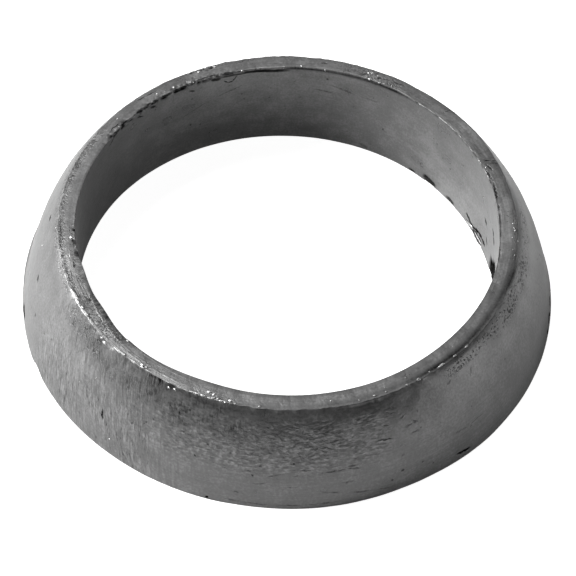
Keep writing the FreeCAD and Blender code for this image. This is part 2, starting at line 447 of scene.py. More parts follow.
class WornRing:
    """The ring's points, column by column: as pressed, then with each kind of wear in turn."""

    def __init__(self, section):
        self.section = section
        # One column of the mesh to a row of these arrays, one row of the section to a column
        self.angle = np.arange(COLUMNS)[:, None] * 360 / COLUMNS
        self.turn = self.angle / 360
        # Radius and height as pressed, by which all wear is placed
        self.r0, self.z0 = section.r[None, :], section.z[None, :]
        self.on = {part: section.on(*sides)[None, :] for part, sides in SKIN_PARTS.items()}
        self.outer = self.on["land"] + self.on["seat"]
        # The rounded edge is part of the bore and of the top, so it counts twice
        self.inner = self.on["bore"] + self.on["top"]
        self.to_edge = np.hypot(self.r0 - LAND_RADIUS, self.z0 - LAND_HEIGHT)
        self.to_bore_top = np.hypot(self.r0 - BORE_RADIUS, self.z0 - LAND_HEIGHT)
        self.worn_foot = self.stretch(300, 334, 12)
        self.press()
        self.lose_round_form()
        self.wear_land()
        self.wear_slope()
        self.gnaw_bore_edge()
        self.split_wall()
        self.chip_bore_foot()
        self.chip_rims()

    def stretch(self, start, end, fade):
        return stretch_of_ring(self.angle, start, end, fade)

    def wander(self, cells, seed):
        """Smooth random numbers from -1 to 1 round the ring, the same all along the section."""
        return grain(self.turn, np.zeros((1, 1)), cells, 1, seed)

    def grain(self, cells_round, cells_across, seed, lean=0):
        """Smooth random numbers from -1 to 1 all over. The lean is in turns a millimetre of height."""
        share = self.section.share[None, :]
        return grain(self.turn - lean * self.z0, share, cells_round, cells_across, seed)

    def patch(self, part, around, across):
        """1 inside a patch: from angle to angle, and across by height, or by radius on top."""
        value = self.z0 if part == "seat" else self.r0
        return self.on[part] * self.stretch(*around) * band(value, *across)

    def press(self):
        """The pressed form, slightly uneven, with more or less crisp rims."""
        section, seat = self.section, self.on["seat"]
        push = 0.03 * self.grain(34, 9, 1)
        push += (0.014 + 0.008 * seat) * self.grain(90, 26, 2) * (1 - 0.5 * self.on["bore"])
        push += 0.005 * self.grain(260, 110, 3) * seat
        push *= 1 - section.on("base")
        push += section.crisp("foot", FOOT_ROUND) * 0.85 * (1 - 0.3 * self.worn_foot)
        crispness = 0.2 + sum(share * self.stretch(*around) for share, *around in CRISP_BORE_EDGE)
        push += section.crisp("bore_edge", BORE_TOP_ROUND) * crispness
        self.r = self.r0 + section.out_r * push
        self.z = self.z0 + section.out_z * push
        # A crisp edge has its rows drawn together at the corner
        off_corner = np.hypot(self.r - BORE_RADIUS, self.z - LAND_HEIGHT) / BORE_TOP_ROUND
        drawn = 1 - np.clip(off_corner, 0, 1) ** 1.5
        drawn = drawn * np.clip(2 * crispness - 1, 0, 1) * section.on("bore_edge")
        self.r = self.r + (BORE_RADIUS - self.r) * drawn
        self.z = self.z + (LAND_HEIGHT - self.z) * drawn

    def lose_round_form(self):
        for side in ("bore", "bore_edge", "seat", "foot"):
            self.r += out_of_round(side, self.angle, self.z0) * self.section.on(side)
        by_foot = self.section.on("base") * smooth_step(self.r0 - FOOT_CENTRE + 1)
        self.r += out_of_round("foot", self.angle, self.z0) * by_foot

    def wear_land(self):
        """Flash that stands as a broken ridge, an outer edge rubbed soft, and the valley beside it."""
        ragged = 0.62 + 0.38 * self.wander(480, 21)
        self.standing = 0.05 * (1 + self.wander(150, 22))
        for start, end, share in RIDGE:
            self.standing = np.maximum(self.standing, share * ragged * self.stretch(start, end, 1.0))
        crest = self.section.on("flash") * np.clip((self.z0 - LAND_HEIGHT) / FLASH_HEIGHT, 0, 1)
        self.z -= crest * FLASH_HEIGHT * (1 - 0.6 * self.standing)

        rubbed = 0
        for share, *around in RUBBED_EDGE:
            rubbed = np.maximum(rubbed, share * self.stretch(*around))
        at_edge = bump_at(self.to_edge, 0, 0.5) * self.outer
        self.z -= 0.1 * rubbed * at_edge
        self.r -= 0.05 * rubbed * at_edge
        rounded_off = self.stretch(152, 199, 10) * bump_at(self.to_edge, 0, 1.0)
        self.z -= 0.1 * rounded_off * self.outer

        unwrapped = np.where(self.angle < 180, self.angle + 360, self.angle)
        valley_radius = np.interp(unwrapped, *zip(*VALLEY_RADII)) + 0.08 * self.wander(60, 24)
        self.by_valley = self.outer * (self.z0 > VALLEY_FOOT)
        self.valley = bump_at(self.r0, valley_radius, VALLEY_WIDTH) * self.by_valley
        self.valley = self.valley * self.stretch(VALLEY_START, VALLEY_END, 12)
        self.z -= VALLEY_DEPTH * self.valley
        edge_wander = 0.07 * self.wander(330, 5) + 0.05 * self.wander(90, 6)
        edge_wander += 0.05 * self.wander(480, 35) * self.stretch(240, 312, 8)
        self.r += edge_wander * bump_at(self.to_edge, 0, 0.3) * self.outer

    def wear_slope(self):
        """The slope that wear has left beside the bore."""
        growth = WORN_GROWTH * (self.angle - WORN_START)
        self.worn_radius = BORE_RADIUS + WORN_WIDTH + growth + 0.05 * self.wander(300, 23)
        self.slope = self.stretch(WORN_START, WORN_END, 2.5) * self.on["top"]
        self.z -= self.slope * np.clip(WORN_SLOPE * (self.worn_radius - self.r0), 0, WORN_DEPTH)

    def gnaw_bore_edge(self):
        """The bore's top edge, gnawed by the split's loose flakes, then rubbed into the wall."""
        bites = smooth_step(0.25 + 0.6 * self.wander(200, 31) + 0.6 * self.grain(480, 130, 32))
        self.bites = bites * self.stretch(*GNAWED, 4) * bump_at(self.to_bore_top, 0.3, 0.4) * self.inner
        rubbed_in = self.stretch(*RUBBED_IN, 5) * bump_at(self.to_bore_top, 0, 0.6) * self.inner
        self.z -= 0.05 * self.bites + 0.03 * rubbed_in
        self.r += 0.05 * self.bites + 0.02 * rubbed_in

    def split_wall(self):
        """The split under the land's inner edge, at the back."""
        lips = 0.12 * self.wander(140, 7) + 0.09 * self.wander(420, 33)
        gape_width = SPLIT_GAP * (1 + 0.45 * self.wander(200, 41))
        gap = bump_at(LAND_HEIGHT - self.z0, SPLIT_DROP + lips, gape_width) * self.on["bore"]
        self.opened = 0
        for first, last, gape in SPLITS:
            self.opened = np.maximum(self.opened, gape * self.stretch(first, last, 5.0))
        self.gap = gap * self.opened
        self.r += SPLIT_DEPTH * self.gap * (0.7 + 0.3 * self.grain(300, 90, 8))

    def chip_bore_foot(self):
        self.hollow = 0
        for first, last, height, depth in FOOT_CHIPS:
            ceiling = height * (1 + 0.25 * self.wander(260, 34))
            below = smooth_step((ceiling - self.z0) / 0.35 + 0.5)
            chip = self.stretch(first, last, 1.0) * below * self.on["bore"]
            self.hollow = np.maximum(self.hollow, chip)
            self.r += depth * chip

    def chip_rims(self):
        """Turns the section round the axis, and cuts the chips at the rims into its points."""
        theta = np.radians(self.angle)
        points = np.stack([self.r * np.cos(theta), self.r * np.sin(theta), self.z + 0 * theta], axis=-1)
        ragged = 0.06 * self.grain(300, 120, 9)
        self.chipped = np.zeros(points.shape[:2])
        for chip in CHIPS:
            self.chipped = np.maximum(self.chipped, scoop(points, *chip, ragged))
        self.points = keep_in_box(points)

    def patches(self, table):
        """All patches of a table in one mask, each times its share."""
        return sum(share * self.patch(*place) for share, *place in table)

    def painted_light_and_wear_patches(self):
        """How much the skin is painted paler, or darker below 0, patch by patch: mostly painted light and
        painted shade, partly rubbed wear and soot.
        """
        total = 0
        for part, middle, half_width, level, half_level, share in PAINTED_LIGHT_AND_WEAR:
            value = self.r0 if part == "land" else self.z0
            around = bump_at(turned(self.angle, middle), 0, half_width)
            total = total + share * around * bump_at(value, level, half_level) * self.on[part]
        return total

    def ridge_highlight(self):
        """Painted highlight along the ridge of standing flash, where it catches the lamps, wide where the
        ridge is thick.
        """
        thick = np.maximum(self.stretch(201, 213, 3), self.stretch(247, 257, 3))
        thick = np.maximum(thick, 0.45 * self.stretch(212, 236, 4))
        width = 0.1 + self.standing * (0.1 + 0.4 * thick)
        smear = bump_at(self.r0, LAND_RADIUS - 0.22, width) * (self.z0 > 13) * self.outer
        return smear * (0.4 + 0.6 * thick) * np.clip(2 * self.standing, 0, 1)

    def shade_and_soot_at_rims(self, rim_shade_and_wear):
        """Painted shade along the land's two edges and in the valley: it dulls the edges' highlights and
        darkens the valley's hollow and the seat just under the land's rim.
        """
        broken = smooth_step(0.5 + 0.9 * self.wander(300, 46))
        inner_edge = 0.5 * broken * self.stretch(16, 54, 4) + 0.5 * self.stretch(54, 92, 4)
        inner_edge += 0.3 * self.stretch(225, 342, 10)
        inner_edge += (0.15 + 0.4 * broken) * self.stretch(346, 16, 5)
        inner_width = 0.25 + 0.1 * self.stretch(57, 92, 4)
        ridge = 0.4 * broken * self.stretch(213, 243, 4) * bump_at(self.to_edge, 0, 0.35)
        right_edge = 0.2 * bump_at(self.r0, 29.8, 0.35) * self.stretch(342, 16, 8) * (self.z0 > 12)
        beside_valley = 0.28 * self.stretch(308, 350, 8) * bump_at(self.r0, 29.7, 0.4)
        return (
            np.clip(rim_shade_and_wear, 0, 0.45) + 0.38 * self.valley + beside_valley * self.by_valley
            + (ridge + right_edge) * self.outer
            + inner_edge * bump_at(self.to_bore_top, 0, inner_width) * self.inner
        )

    def masks(self):
        """Where the skin has each kind of wear and dirt, and where light and shade are painted on it, from
        0 to 1.
        """
        seat, top = self.on["seat"], self.on["top"]
        patchy = smooth_step(0.6 + 0.6 * self.grain(80, 14, 37))
        # Painted shade on the seat just under the land's outer edge at the front, mixed with torn and worn
        # patches
        under_ridge = self.patch("seat", (226, 272, 16), (13.0, 13.9, 0.6))
        ragged_rim = self.patch("seat", (238, 302, 12), (13.4, 13.8, 0.35))
        ragged_rim = ragged_rim * smooth_step(0.55 + 0.7 * self.wander(460, 36))
        torn = self.patch("seat", (250, 266, 3), (12.7, 13.9, 0.5))
        worn_patch = self.patch("seat", (206, 221, 4), (11.3, 13.7, 0.9))
        streaked = self.patch("seat", (211, 262, 10), (10.2, 13.7, 1.6))
        streaked = streaked * smooth_step(0.5 + 0.7 * self.grain(230, 24, 47, 0.004))
        low_down = 0.45 + 0.55 * band(self.z0, 0, 8.5, 3.0)
        dabbed = self.stretch(202, 241, 12) * low_down * (0.4 + 0.6 * patchy)
        wrinkled = np.clip(patchy + self.stretch(244, 280, 14), 0.3, 1)
        rim_shade_and_wear = 0.2 * under_ridge + 0.35 * ragged_rim + 0.3 * torn + 0.3 * streaked + 0.25 * worn_patch
        lip_highlight = bump_at(self.r0, self.worn_radius + 0.04, 0.08) * self.stretch(206, 223, 2) * top
        gnawed = self.stretch(*GNAWED, 4) * bump_at(self.to_bore_top, 0.2, 0.5) * self.inner
        split_edge = bump_at(self.to_bore_top, 0.1, 0.12) * self.opened * self.inner
        # Paler patches go to the bright mask as painted light, darker ones to the shade mask as painted
        # shade
        pale = self.painted_light_and_wear_patches()
        masks = {
            "bore_wall": self.on["bore"],
            "land_skin": top,
            "wiped": seat * (0.12 + 0.88 * self.stretch(208, 250, 14)),
            "dabbed": seat * (dabbed + worn_patch + 0.8 * streaked),
            "wrinkled": wrinkled * self.patch("seat", (236, 294, 22), (5.8, 12.8, 3.0)),
            "creased": self.patch("seat", (244, 330, 16), (1.0, 8.0, 2.0)),
            "worn": self.patches(WORN_PATCHES) + 0.3 * worn_patch + 0.3 * gnawed
            + self.slope * band(self.r0, 0, self.worn_radius - 0.05, 0.2),
            "speckled": self.patches(SPECKLED_PATCHES) + 0.8 * worn_patch + 0.6 * under_ridge
            + 0.7 * torn + 0.7 * self.slope + 0.6 * streaked,
            # Painted shade, with some soot: the split's gap, the hollows of the chips at the rims and at
            # the bore's foot, the gnawed edge's bites, the land's edges, the valley and the foot's lower
            # rim are painted dark
            "soot": 0.75 * self.gap * (0.9 + 0.2 * self.grain(400, 130, 42))
            + 0.9 * self.chipped + 1.1 * self.hollow + 0.6 * self.bites
            + self.shade_and_soot_at_rims(rim_shade_and_wear) + np.clip(-pale, 0, 1)
            + 0.25 * self.worn_foot * band(self.z0, -1, 0.6, 0.8) * seat,
            # Painted light: highlights on the flash ridge, the worn slope's lip and the split's edge, and
            # the paler patches
            "bright": 0.5 * self.ridge_highlight() + 0.5 * lip_highlight + 0.08 * split_edge + np.clip(pale, 0, 1),
        }
        return {name: np.clip(mask, 0, 1) + 0 * self.chipped for name, mask in masks.items()}


def keep_in_box(points):
    """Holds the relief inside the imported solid's box."""
    reach = np.hypot(points[..., 0], points[..., 1])
    shrink = np.minimum(1, (OUTER_RADIUS - BOX_MARGIN) / reach)
    points[..., 0] *= shrink
    points[..., 1] *= shrink
    points[..., 2] = np.clip(points[..., 2], 0, RING_HEIGHT)
    return points


def add_object(name, data):
    placed = bpy.data.objects.new(name, data)
    bpy.context.scene.collection.objects.link(placed)
    return placed


def make_mesh(name, points, faces, material):
    """A piece from points in millimetres, smooth shaded."""
    mesh = bpy.data.meshes.new(name)
    mesh.from_pydata((np.asarray(points) * MM).tolist(), [], faces)
    mesh.materials.append(material)
    mesh.shade_smooth()
    return add_object(name, mesh)


def ring_faces(rows):
    """Quads between neighbouring columns and rows, closed both ways."""
    column, row = np.meshgrid(np.arange(COLUMNS), np.arange(rows), indexing="ij")
    next_column, next_row = (column + 1) % COLUMNS, (row + 1) % rows
    corners = (
        column * rows + row,
        column * rows + next_row,
        next_column * rows + next_row,
        next_column * rows + row,
    )
    return np.stack(corners, axis=-1).reshape(-1, 4).tolist()


def on_skin(angle, along):
    """Where the material's patterns see a point: true lengths round the ring and along the section."""
    turn = np.radians(angle)
    return np.stack([SKIN_RADIUS * np.cos(turn), SKIN_RADIUS * np.sin(turn), along], axis=-1)


def store(mesh, angle, along, masks):
    """Keeps the skin's places and masks on the points, for the material to read."""
    lean = np.degrees(WIPE_LEAN * np.cos(np.radians(angle)) * along / SKIN_RADIUS)
    for name, place_angle in (("skin", angle), ("wipe_skin", angle + lean)):
        attribute = mesh.attributes.new(name, "FLOAT_VECTOR", "POINT")
        attribute.data.foreach_set("vector", on_skin(place_angle, along).astype(np.float32).ravel())
    for name, values in masks.items():
        attribute = mesh.attributes.new(name, "FLOAT", "POINT")
        attribute.data.foreach_set("value", np.asarray(values, np.float32).ravel())


def pressed_ring(section, material):
    """The ring itself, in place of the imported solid."""
    ring = WornRing(section)
    rows = len(section.r)
    piece = make_mesh("pressed_ring", ring.points.reshape(-1, 3), ring_faces(rows), material)
    store(piece.data, np.repeat(ring.angle, rows), np.tile(section.along, COLUMNS), ring.masks())
    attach(piece, "root")
    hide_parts(RING_NODE)


# Dark marks, side by side of the section: half width, then the places along the mark, each an
# angle with its height, or with its radius on the land. One place alone is a pit. Notches are
# black, cracks and pits less so, and slits are broken lines. Most notches are painted shade: black
# in the hollows of the chips at the bore's foot and the seat's foot, and a painted shadow round the lifted
# flake.
NOTCHES_AND_SHADE = {
    "bore": (
        (0.3, (28.4, 2), (27.4, 1.6), (25, 1.25), (23.2, 1.5)),
        (0.42, (23.2, 1.5), (20.6, 2.1), (18.4, 2.1), (15.8, 2)), (0.2, (28.3, 1), (26, 0.5)),
        (1.3, (9, 1.4), (6.6, 2.6), (4.4, 4)), (0.3, (28.6, 1.9), (26, 1.5), (23.6, 1.1)),
        (0.2, (27.6, 0.5), (25.4, 0.2)), (0.75, (47.6, 1), (45.6, 0.9), (44, 0.7)),
        (0.55, (38.2, 0.7), (35.2, 0.7)), (0.42, (53.2, 0.5), (51.6, 0.4)),
        (0.3, (18.5, 6.1), (17, 5.6)), (0.34, (11.8, 7.6), (10.4, 6.8), (9, 6)),
    ),
    "seat": (
        (0.5, (4.4, 0.9), (3, 0.5), (2, 0.8)), (0.45, (358.6, 1.6), (357.4, 1.9), (356.2, 1.5)),
        (0.5, (354.6, 1.3), (353.4, 1.8), (352.2, 1.2)), (0.5, (350.6, 0.9), (349.6, 0.9)),
        (0.32, (309.6, 1.4), (313.7, 1.1)), (0.24, (254.5, 0.5)), (0.2, (226.9, 6.1), (227.7, 4.8)),
        (0.85, (187.2, 1), (189.6, 0.8)), (0.34, (175.7, 11.7), (176.9, 11.6)),
        (0.26, (189, 8.5), (190.2, 8)),
    ),
    "land": (
        (0.26, (183.2, 27.8), (184.6, 27.5)),
    ),
}
CRACKS = {
    "land": (
        (0.24, (123, 27.65), (119.3, 27.6), (117.3, 27.75), (113.5, 27.8)),
        (0.26, (113.5, 27.8), (110.5, 27.65), (106, 27.6)),
        (0.24, (137.7, 27.65), (135.3, 27.6), (132.9, 27.6), (129.6, 27.55), (125.7, 27.6)),
        (0.18, (147.5, 27.6), (144.5, 27.6), (141.2, 27.7)), (0.16, (82.5, 28.7), (80.5, 28.9)),
        (0.13, (147.4, 28.3), (143, 28.1)), (0.13, (134.7, 29.3), (132, 29.1), (128.2, 28.9)),
        (0.25, (120, 29.5), (112, 29.5)), (0.14, (91.7, 27.6), (85.2, 27.6), (81.5, 27.6)),
        (0.13, (77.7, 27.6), (75, 27.6)), (0.17, (70.7, 28.2), (69.6, 28.6)),
        (0.17, (70, 27.7), (68.2, 27.6), (66.6, 27.7)),
        (0.13, (66.6, 28.4), (65.3, 28.7), (62.8, 28.8), (58.4, 29)),
        (0.14, (25.2, 28.1), (24.8, 29), (24, 29.8)), (0.12, (23.9, 28.7), (23.3, 29.7)),
        (0.22, (23.7, 28.1), (21.7, 28.5)),
        (0.15, (22.5, 27.7), (18.1, 27.9), (10, 27.65), (7.5, 27.62)),
        (0.17, (7.5, 27.62), (2.2, 27.5), (357, 27.55)), (0.17, (355.5, 27.55), (351.3, 27.6)),
        (0.14, (209.2, 27.9), (211.7, 27.75), (216.7, 27.75)), (0.24, (207.5, 28.2), (208.3, 28)),
        (0.2, (186.6, 27.8), (188.6, 27.65)), (0.18, (190.4, 27.7), (193.4, 27.65)),
        (0.16, (194, 28.1), (196.2, 28.2)), (0.16, (45.1, 28.9), (44.5, 29.6)),
    ),
    "bore": (
        (0.36, (113, 13.3), (110.8, 13.1)), (0.24, (119.8, 12.7), (118.2, 12.2)),
        (0.3, (132.8, 13.3), (131, 12.9)), (0.22, (137.8, 13.2), (135.6, 12.6)),
        (0.15, (150.5, 12.6), (147.5, 13.4)), (0.26, (15.8, 3.8), (14.4, 3)),
        (0.13, (109.4, 12.6), (108.1, 12), (106.8, 12.2), (105.8, 13)),
    ),
    "seat": (
        (0.14, (291.9, 8.65), (295.1, 8.4)),
    ),
}
SLITS = {
    "seat": (
        (0.18, (319.4, 11.7), (318.1, 10.6)), (0.34, (210.6, 12.7), (211.4, 11.5)),
        (0.3, (213.4, 12.5), (214.3, 11.3)), (0.32, (226.6, 12.2), (227.6, 10.8)),
        (0.3, (229, 12.3), (229.4, 11.4)), (0.2, (221.1, 3.1), (221.5, 2)),
        (0.2, (226.9, 1.5), (227.1, 1)), (0.2, (227.6, 10.4), (227.3, 11.4)),
        (0.15, (215.7, 3.75), (216, 3.2)), (0.14, (218.3, 4.9), (218.5, 4.3)),
        (0.2, (311.2, 11.5), (312.6, 11.9)), (0.13, (309.6, 4.9), (314, 4.6), (318.7, 4.8)),
        (0.13, (300.1, 9.9), (301.9, 9.1)), (0.14, (257, 5.6), (258.6, 5.8)),
        (0.14, (262.3, 7.5), (264.2, 7.3)), (0.13, (262.2, 5.9), (263.6, 5.8)),
        (0.14, (267.2, 5.3), (269.9, 5.6)), (0.13, (272.4, 5.4), (273.7, 5.5)),
        (0.14, (274.1, 6.3), (276.4, 6.2)), (0.13, (278.3, 5.7), (282.7, 5.7)),
        (0.17, (271.5, 3.7), (273.3, 3.7)), (0.12, (263.8, 4), (266.8, 4.2)),
        (0.12, (259.3, 2.4), (262.8, 2.2)), (0.16, (280, 5.7), (284.1, 5.8), (287.4, 5.6)),
        (0.2, (284.6, 6.1), (286, 6.1)), (0.14, (283, 3.9), (285.8, 3.7)),
        (0.2, (291.7, 8.7), (293.5, 8.6)), (0.17, (299.8, 8.2), (301.7, 8.1)),
        (0.16, (300.6, 9.4), (301.6, 9.3)),
        (0.13, (278.3, 2.8), (284, 2.1), (289.5, 1.5), (294.9, 0.9)),
        (0.13, (258, 0.95), (262, 0.85), (268, 0.7), (275, 0.8), (283, 0.9)),
        (0.2, (294.6, 11.8), (296.6, 11.5)), (0.2, (297.6, 10.6), (299, 10.9)),
        (0.22, (293.2, 10.4), (294.6, 10.2)), (0.2, (298.4, 9.2), (300.2, 9.4)),
    ),
    "land": (
        (0.14, (196.4, 28.73), (200.3, 29), (203.8, 28.95), (207.4, 28.9)),
    ),
    "bore": (
        (0.13, (124, 7.6), (112, 9.6), (103, 11.2)),
        (0.17, (79.6, 11.1), (71.4, 10.2), (64.3, 10.2)), (0.15, (84, 9.9), (78, 9.6)),
        (0.2, (63.4, 5.3), (61.8, 5.2)), (0.4, (69.4, 1), (67.8, 0.8)),
    ),
}
PITS = {
    "seat": (
        (0.36, (217.2, 11.4)), (0.36, (219, 11.7)), (0.3, (220.8, 12)), (0.26, (235.2, 6.9)),
        (0.18, (238.5, 8.1)), (0.18, (240, 8.9)), (0.16, (227, 1.3)), (0.2, (253.5, 8.4)),
        (0.2, (258.8, 7.9)), (0.18, (251, 6.4)), (0.2, (265.4, 6.7)), (0.2, (263.9, 5.2)),
        (0.2, (272.7, 7.2)), (0.22, (296.5, 3.2)), (0.17, (303.9, 2.2)), (0.17, (301.3, 3.2)),
        (0.18, (294, 2.2)), (0.2, (350.7, 11.3)), (0.2, (352.6, 13)), (0.34, (196, 5.5)),
        (0.2, (354, 12.6)),
    ),
    "land": (
        (0.2, (161.9, 29.1)), (0.22, (165.1, 29.2)), (0.24, (169.2, 29.6)), (0.24, (223.2, 27.9)),
        (0.26, (183, 27.8)), (0.24, (185.8, 27.5)), (0.22, (346, 29.4)),
    ),
    "bore": (
        (0.24, (119.5, 5.8)), (0.2, (116.6, 5.2)), (0.2, (80.1, 12.2)), (0.2, (63.2, 5.4)),
        (0.17, (46, 9.1)), (0.18, (44.7, 8.6)), (0.18, (38.5, 6.1)), (0.17, (33.3, 9.2)),
        (0.18, (29.2, 13)), (0.17, (40.2, 12.3)), (0.2, (49.7, 2.8)), (0.2, (63.1, 5.5)),
    ),
}


# Bright steel that shows at the rims, in runs on one side: angle, height or radius, half length,
# half width. Their order decides the random draws.
FLECKS = (
    ("land", (
        (115.4, 29.1, 0.28, 0.2), (123.9, 28.2, 0.2, 0.2), (142.5, 28.9, 0.12, 0.12),
        (144.5, 27.8, 0.12, 0.12), (129, 28.5, 0.13, 0.1), (118.4, 27.7, 0.1, 0.1),
        (110.8, 29.2, 0.14, 0.1), (104, 27.6, 0.2, 0.14), (92.5, 27.6, 0.16, 0.14),
        (87.6, 27.9, 0.12, 0.22), (81, 27.6, 0.16, 0.12), (69.3, 28.8, 0.17, 0.14),
        (68.4, 29, 0.17, 0.14), (68.3, 27.8, 0.25, 0.12), (66.7, 28.8, 0.16, 0.1),
        (65.3, 27.8, 0.14, 0.13), (64, 27.9, 0.1, 0.1), (61.7, 28, 0.1, 0.1), (49.7, 28.5, 0.1, 0.08),
        (23, 27.9, 0.16, 0.12), (2.9, 29.1, 0.1, 0.1), (1.4, 29.15, 0.1, 0.08), (0.6, 29.3, 0.1, 0.08),
        (357, 29.75, 0.11, 0.11), (354.3, 29.1, 0.09, 0.08), (352.4, 29.4, 0.09, 0.08),
        (358.2, 28.95, 0.09, 0.08), (320.4, 29.65, 0.3, 0.1), (316.2, 29.6, 0.25, 0.1),
        (311.6, 29.55, 0.55, 0.13), (308.1, 29.4, 0.12, 0.1), (304.6, 29.6, 0.32, 0.2),
        (302.2, 28.5, 0.09, 0.09), (301.2, 29.6, 0.15, 0.1), (296.2, 28.7, 0.1, 0.1),
        (295.7, 29.3, 0.1, 0.12), (292.8, 29.3, 0.2, 0.15), (288.7, 29.4, 0.14, 0.12),
        (281.9, 28.7, 0.1, 0.1), (264.2, 29.4, 0.13, 0.12), (258.3, 29.6, 0.16, 0.12),
        (257, 29.15, 0.24, 0.24), (255.1, 29.6, 0.4, 0.17), (254, 29.35, 0.28, 0.24),
        (252.9, 29.35, 0.28, 0.3), (252.5, 28.86, 0.28, 0.26), (251.2, 28.74, 0.26, 0.26),
        (250.3, 29.6, 0.4, 0.18), (249, 29.6, 0.36, 0.16), (256.1, 29.7, 0.26, 0.12),
    )),
    ("seat", ((243.1, 13.5, 0.22, 0.14), (241.5, 13.4, 0.2, 0.14))),
    ("land", (
        (232.7, 29.2, 0.4, 0.26), (234, 29.2, 0.2, 0.16), (233.2, 29.6, 0.3, 0.12),
        (227.4, 29.6, 0.2, 0.1),
    )),
    ("seat", ((220.9, 13.4, 0.36, 0.25), (219.4, 13.6, 0.25, 0.16))),
    ("land", (
        (211.6, 29.5, 0.45, 0.17), (209.2, 29.5, 0.3, 0.12), (205, 29.5, 1, 0.2),
        (198.5, 29.5, 0.4, 0.08), (191.3, 29.5, 0.3, 0.12), (224.6, 27.75, 0.2, 0.14),
        (185.9, 28, 0.3, 0.22), (186.5, 27.6, 0.12, 0.14), (189.4, 27.5, 0.2, 0.14),
        (191.2, 27.5, 0.12, 0.08), (191.9, 28.45, 0.5, 0.06),
    )),
    ("seat", (
        (182.2, 13.5, 0.12, 0.12), (182.4, 10.1, 0.12, 0.11), (222.8, 9.1, 0.1, 0.11),
        (230.6, 2.6, 0.1, 0.11), (218.7, 6.7, 0.09, 0.09),
    )),
    ("bore", ((7, 0.7, 0.2, 0.3),)),
)
FLECK_RISE = 0.07


def lump(rng):
    """Corners and faces of an uneven lump, one unit in reach."""
    shape = bmesh.new()
    bmesh.ops.create_icosphere(shape, subdivisions=2, radius=1.0)
    corners = np.array([v.co for v in shape.verts])
    faces = [[v.index for v in face.verts] for face in shape.faces]
    shape.free()
    return corners * rng.uniform(0.55, 1.35, (len(corners), 1)), faces


def steel_flecks(section, material):
    """Lumps of bared wire and curled flash along the rims, half sunk in the graphite."""
    rng = np.random.default_rng(40)
    points, faces = [], []
    flecks = [(side, *fleck) for side, run in FLECKS for fleck in run]
    for side, angle, where, half_length, half_width in flecks:
        corners, sides = lump(rng)
        point, around, along, outward = section.place(side, angle, where)
        rise = min(FLECK_RISE, half_width)
        spread = corners * [half_length, half_width, rise]
        axes = np.array([around, along, outward])
        first = sum(len(part) for part in points)
        points.append(np.array(point) + spread @ axes)
        faces += [[first + corner for corner in face] for face in sides]
    piece = make_mesh("steel_flecks", keep_in_box(np.concatenate(points)), faces, material)
    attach(piece, "root")


# The bared wire that bridges the chip at the bore's foot: angle, radius and height along it
STRAND = (
    (25.6, 27.3, 0.5), (24.4, 27.2, 0.24), (22.5, 27.14, 0.14), (20.3, 27.16, 0.16), (17.6, 27.3, 0.5),
)
STRAND_RADIUS = 0.12
STRAND_SIDES = 8
STRAND_RINGS = 24


def bared_strand(material):
    """The wire as a thin uneven tube."""
    rng = np.random.default_rng(41)
    knots = np.array(STRAND)
    steps = np.linspace(0, len(knots) - 1, STRAND_RINGS)
    angle, r, z = (np.interp(steps, np.arange(len(knots)), knots[:, i]) for i in range(3))
    thick = STRAND_RADIUS * rng.uniform(0.75, 1.25, STRAND_RINGS)
    thick[[0, -1]] *= 0.4
    points, faces = [], []
    for ring in range(STRAND_RINGS):
        turn = math.radians(angle[ring])
        for side in range(STRAND_SIDES):
            lean = 2 * math.pi * side / STRAND_SIDES
            reach = r[ring] + thick[ring] * math.cos(lean)
            height = z[ring] + thick[ring] * math.sin(lean)
            points.append((reach * math.cos(turn), reach * math.sin(turn), height))
    for ring in range(STRAND_RINGS - 1):
        for side in range(STRAND_SIDES):
            near, far = ring * STRAND_SIDES, (ring + 1) * STRAND_SIDES
            after = (side + 1) % STRAND_SIDES
            faces.append((near + side, near + after, far + after, far + side))
    faces.append(tuple(range(STRAND_SIDES)))
    faces.append(tuple(range(STRAND_RINGS * STRAND_SIDES - 1, (STRAND_RINGS - 1) * STRAND_SIDES - 1, -1)))
    piece = make_mesh("bared_strand", keep_in_box(np.array(points)), faces, material)
    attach(piece, "root")


# The flake that has lifted off the bore's foot
FLAKE_ANGLE = 26.1
FLAKE_HEIGHT = 0.85
FLAKE_HALF_LENGTH = 1.15
FLAKE_HALF_WIDTH = 0.26
FLAKE_THICKNESS = 0.05
FLAKE_LIFT = 0.14
FLAKE_LEAN = 16.0
FLAKE_CORNERS = 16
FLAKE_CURL = 0.08
# The flake's patterns come from a stretch of skin that no mark reaches
FLAKE_ALONG = -5.0


